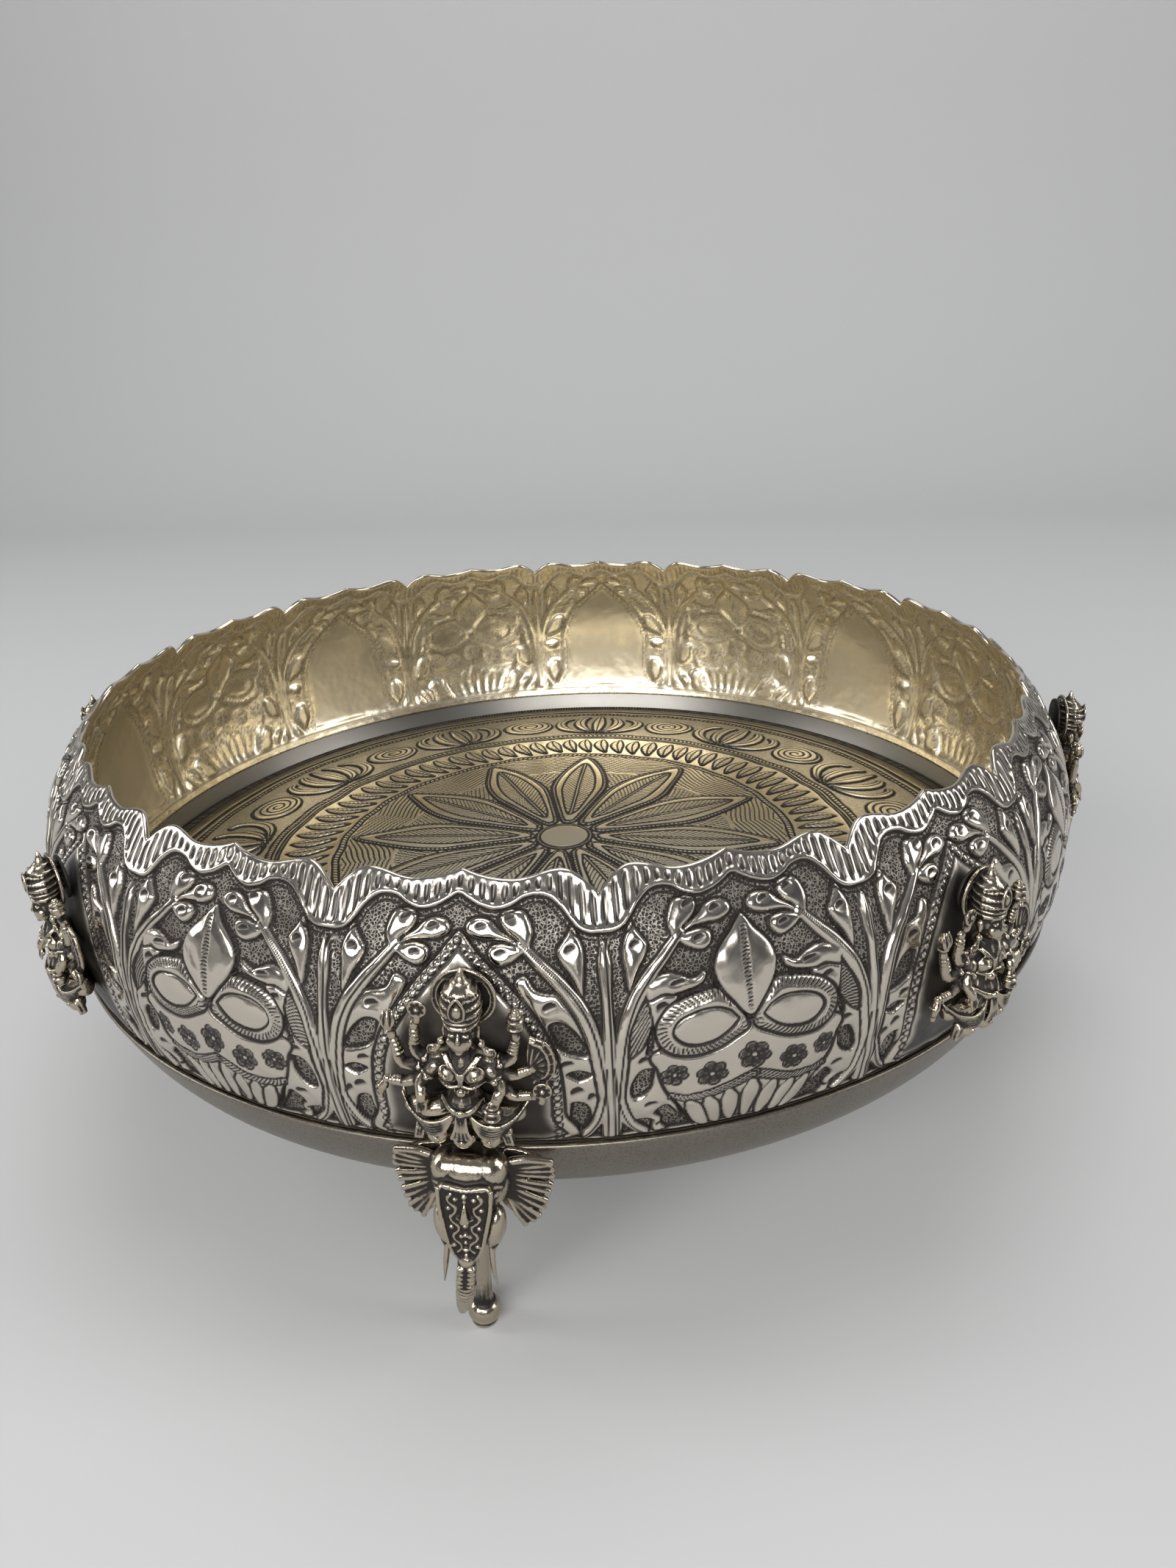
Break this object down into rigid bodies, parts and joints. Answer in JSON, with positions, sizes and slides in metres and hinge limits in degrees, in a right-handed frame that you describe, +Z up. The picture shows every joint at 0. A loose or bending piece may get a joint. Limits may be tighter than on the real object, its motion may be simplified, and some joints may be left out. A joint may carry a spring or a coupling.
{
  "type": "footed ceremonial bowl",
  "caption": "Shallow round silver urli bowl with an embossed scalloped wall, soldered goddess castings and elephant-head feet.",
  "frame": {"origin": "on the table under the bowl's axis, level with the soles of the three feet", "axes": "+Z up along the bowl's axis, -Y towards the front niche over the first elephant foot, +X to the right seen from the front"},
  "size_m": [0.2706, 0.2725, 0.0983],
  "materials": {
    "embossed_silver": "polished, dark in the recesses",
    "satin_silver": "satin",
    "engraved_silver": "satin, engraved",
    "cast_silver": "polished casting, oxidised recesses",
    "fastener_steel": "satin"
  },
  "bodies": {
    "root": {"wall_band": "embossed_silver", "base_pan": "satin_silver", "floor_plate": "engraved_silver", "goddess_casting_1": "cast_silver", "goddess_casting_2": "cast_silver", "goddess_casting_3": "cast_silver", "goddess_casting_4": "cast_silver", "goddess_casting_5": "cast_silver", "goddess_casting_6": "cast_silver", "goddess_casting_7": "cast_silver", "goddess_casting_8": "cast_silver", "elephant_foot_1": "cast_silver", "elephant_foot_2": "cast_silver", "elephant_foot_3": "cast_silver", "foot_washer_1": "fastener_steel", "foot_washer_2": "fastener_steel", "foot_washer_3": "fastener_steel", "foot_nut_1": "fastener_steel", "foot_nut_2": "fastener_steel", "foot_nut_3": "fastener_steel"}
  },
  "joints": []
}
